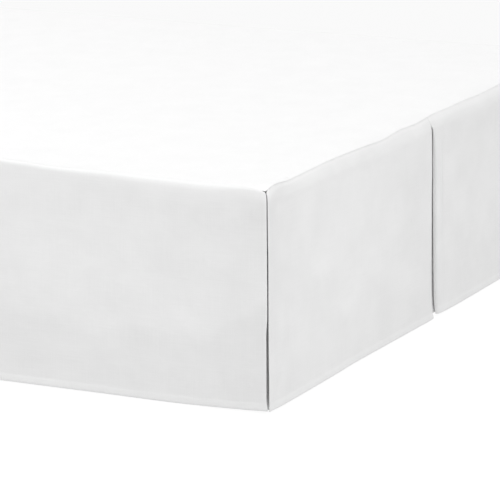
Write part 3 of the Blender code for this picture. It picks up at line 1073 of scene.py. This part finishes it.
def hang_side(name, node, side, bend, **look):
    """The drop along one side: -1 is the left one and 1 the right one."""

    def from_corner(x):
        return LENGTH / 2 + side * x

    def shoulder(x, z, top):
        return side_turn(z, top, curve_at(bend, from_corner(x))) * seam_in(from_corner(x)) / SEAM_IN

    def seam(x):
        inward = HALF_WIDTH - seam_in(from_corner(x))
        edge = deck_height(side * inward, FOOT + LENGTH / 2 + side * x)
        return edge - CLOTH * 0.4 - SEAM_CLEAR - cut_corner(from_corner(x))

    drop = Drop(
        length=LENGTH,
        ends=("plain", "tucked") if side < 0 else ("tucked", "plain"),
        shoulder=shoulder,
        top=seam,
        rolls=SIDE_ROLLS,
        slit=SIDE_SLIT,
        flare=side_flare,
        **look,
    )
    turned = Matrix.Rotation(side * pi / 2, 4, "Z")
    place = Matrix.Translation((side * HALF_WIDTH, FOOT + LENGTH / 2, 0)) @ turned
    obj, length, height = drop.build(name, node, place)


hang_side(
    "side_drop_left_cloth",
    "side_drop_left",
    side=-1,
    bend=LEFT_BEND,
    swells=LEFT_SWELLS,
    hem=(
        (-0.9525, 0.0), (-0.40, -0.0014), (0.0, 0.0004), (0.45, -0.0027), (0.65, -0.0032),
        (0.78, -0.0038), (0.90, -0.0010), (0.9525, 0.0012),
    ),
    hem_shows=((-0.9525, 0.5), (0.20, 0.8), (0.50, 0.95), (0.58, 0.80), (0.66, 0.50), (0.9525, 0.45)),
    backed=((-0.9525, 0.026), (0.9525, 0.026)),
    covers=left_painted_shade,
)
hang_side(
    "side_drop_right_cloth",
    "side_drop_right",
    side=1,
    bend=RIGHT_BEND,
    swells=RIGHT_SWELLS,
    hem=((-0.9525, 0.0010), (-0.50, -0.0016), (0.0, 0.0006), (0.40, -0.0012), (0.9525, 0.0)),
    hem_shows=((-0.9525, 0.45), (-0.30, 0.8), (0.40, 0.6), (0.9525, 0.7)),
    backed=((-0.9525, 0.012), (-0.86, 0.026), (0.9525, 0.026)),
    covers=right_painted_shade,
)


# The corner flaps: an L-shaped piece of the same cotton behind each split foot corner, hemmed below and
# seamed in with the drops at the top. They are what shows through the slits.
FLAP_BEHIND = 0.0052
FLAP_REACH = 0.110
FLAP_ROUND = 0.024
FLAP_CORNER_POINTS = 10
FLAP_COLUMNS = 13
FLAP_BELOW_DECK = 0.0042
FLAP_SHOULDER = 0.027
# Painted shade on the flaps, for the shade behind the slits
FLAP_PAINTED_SHADE = 0.55


def hang_flap(name, node, side):
    """One flap: an arm behind each drop, with a round bend between them at the corner."""
    rows = []
    longest = 0.0
    top = DECK_TOP - FLAP_BELOW_DECK
    heights = [HEM_HEIGHT - 0.0010 + e for e in HEM_ROWS]
    first = heights[-1]
    straight_tall = top - FLAP_SHOULDER - first
    heights += [first + straight_tall * i / FACE_ROWS for i in range(1, FACE_ROWS + 1)]
    heights += [top - FLAP_SHOULDER + FLAP_SHOULDER * share for share in SHOULDER_ROWS]
    edge = EDGE_COLUMNS[:5]
    for z in heights:
        inner = FLAP_BEHIND + foot_turn(z, top, 1.0) - FLARE * 0.8 * low_down(z, top) ** FLARE_CURVE
        centre = inner + FLAP_ROUND
        arm = FLAP_REACH - centre - edge[-1]
        straight = [*edge, *[edge[-1] + arm * i / FLAP_COLUMNS for i in range(1, FLAP_COLUMNS + 1)]]
        line = [(inner, FLAP_REACH - e) for e in straight]
        for i in range(1, FLAP_CORNER_POINTS):
            angle = pi + i * pi / 2 / FLAP_CORNER_POINTS
            line.append((centre + FLAP_ROUND * cos(angle), centre + FLAP_ROUND * sin(angle)))
        line += [(FLAP_REACH - e, inner) for e in reversed(straight)]
        above_hem = z - heights[0]
        length = 0.0
        before = line[0]
        row = []
        for x, y in line:
            length += sqrt((before[0] - x) ** 2 + (before[1] - y) ** 2)
            before = (x, y)
            ripple = 0.0006 * noise.noise(Vector((x * 20 + side, y * 20, z * 8)))
            point = (side * (HALF_WIDTH - x - ripple), FOOT + y + ripple, z)
            # The flap is painted a shade darker all over
            row.append((point, (length, above_hem), FLAP_PAINTED_SHADE, 1.0 if above_hem < HEM else single))
        rows.append(row)
        longest = max(longest, length)
    obj = cloth_sheet(name, rows, white_cotton)
    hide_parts(node)


hang_flap("corner_flap_left_cloth", "corner_insert_left", -1)
hang_flap("corner_flap_right_cloth", "corner_insert_right", 1)


# The studio: a glowing white floor, painted darker behind the bed as painted shade, a pale sky that is
# brighter overhead, a large soft lamp on the left, another in front, and a long lens looking at the
# foot's left corner from a little above.
SKY_LOW = 0.63
SKY_HIGH = 1.33
FLOOR_GLOW = 0.61
FLOOR_SIZE = 60.0
FLOOR_CLEAR = 0.0002
# Painted shade on the floor's seen glow: near the bed, and past the span behind it
FLOOR_PAINTED_FALLOFF = (0.93, 0.80)
BEHIND_BED = (1.0, 2.0)
LAMPS = (
    ("Left lamp", (-2.0, 1.25, 2.0), (-0.5, 0.2, 0.2), 1.6, 14.0),
    ("Front lamp", (-1.8, -3.2, 0.8), (-0.3, -0.9, 0.2), 1.4, 13.0),
)
CAMERA_PLACE = (-5.9925, -3.5267, 1.7008)
CAMERA_AZIMUTH = -63.8426
CAMERA_ELEVATION = 13.5121
CAMERA_ROLL = -0.5163
LENS = 264.99


def seen_or_lighting(tree, seen, lighting):
    """Plain white where it is looked at, and this strength where it only lights the bed."""
    straight = add_node(tree, "ShaderNodeLightPath").outputs["Is Camera Ray"]
    either = {"Factor": straight, 2: lighting, 3: seen}
    return add_node(tree, "ShaderNodeMix", either, data_type="FLOAT").outputs[0]


world = bpy.data.worlds.new("Studio")
world.use_nodes = True
bpy.context.scene.world = world
tree = world.node_tree
way = add_node(tree, "ShaderNodeTexCoord").outputs["Generated"]
up = add_node(tree, "ShaderNodeSeparateXYZ", {0: way}).outputs["Z"]
sky = add_node(tree, "ShaderNodeMapRange", {0: up, 1: 0.0, 2: 1.0, 3: SKY_LOW, 4: SKY_HIGH}).outputs[0]
tree.links.new(seen_or_lighting(tree, 1.0, sky), tree.nodes["Background"].inputs["Strength"])
tree.nodes["Background"].inputs["Color"].default_value = (1, 1, 1, 1)

bm = bmesh.new()
bmesh.ops.create_grid(bm, x_segments=1, y_segments=1, size=FLOOR_SIZE / 2)
mesh = bpy.data.meshes.new("floor")
bm.to_mesh(mesh)
bm.free()
floor = bpy.data.objects.new("floor", mesh)
floor.location.z = -FLOOR_CLEAR
bpy.context.scene.collection.objects.link(floor)
made, tree, shader = finish("White floor", (0.1, 0.1, 0.1), 1.0)
shader.inputs["Emission Color"].default_value = (1, 1, 1, 1)
place = add_node(tree, "ShaderNodeTexCoord").outputs["Object"]
across = add_node(tree, "ShaderNodeSeparateXYZ", {0: place}).outputs["X"]
# Painted shade: the seen glow fades towards the back, for light falling away behind the bed
ends = {1: BEHIND_BED[0], 2: BEHIND_BED[1], 3: FLOOR_PAINTED_FALLOFF[0], 4: FLOOR_PAINTED_FALLOFF[1]}
painted_falloff = add_node(tree, "ShaderNodeMapRange", {0: across, **ends}).outputs[0]
tree.links.new(seen_or_lighting(tree, painted_falloff, FLOOR_GLOW), shader.inputs["Emission Strength"])
mesh.materials.append(made)

for name, place, aim, width, power in LAMPS:
    lamp_data = bpy.data.lights.new(name, "AREA")
    lamp_data.shape = "DISK"
    lamp_data.size = width
    lamp_data.energy = power
    lamp = bpy.data.objects.new(name, lamp_data)
    lamp.location = place
    lamp.rotation_mode = "QUATERNION"
    lamp.rotation_quaternion = (Vector(aim) - Vector(place)).to_track_quat("-Z", "Y")
    lamp.visible_camera = False
    bpy.context.scene.collection.objects.link(lamp)

camera_data = bpy.data.cameras.new("Camera")
camera_data.lens = LENS
camera = bpy.data.objects.new("Camera", camera_data)
azimuth, elevation, roll = (radians(a) for a in (CAMERA_AZIMUTH, CAMERA_ELEVATION, CAMERA_ROLL))
back = Vector((sin(azimuth) * cos(elevation), -cos(azimuth) * cos(elevation), sin(elevation)))
level = Vector((0, 0, 1)).cross(back).normalized()
upright = back.cross(level)
right_way = level * cos(roll) + upright * sin(roll)
up_way = upright * cos(roll) - level * sin(roll)
turned = Matrix((right_way, up_way, back)).transposed().to_4x4()
camera.matrix_world = Matrix.Translation(CAMERA_PLACE) @ turned
bpy.context.scene.collection.objects.link(camera)
bpy.context.scene.camera = camera
bpy.context.scene.view_settings.view_transform = "Standard"
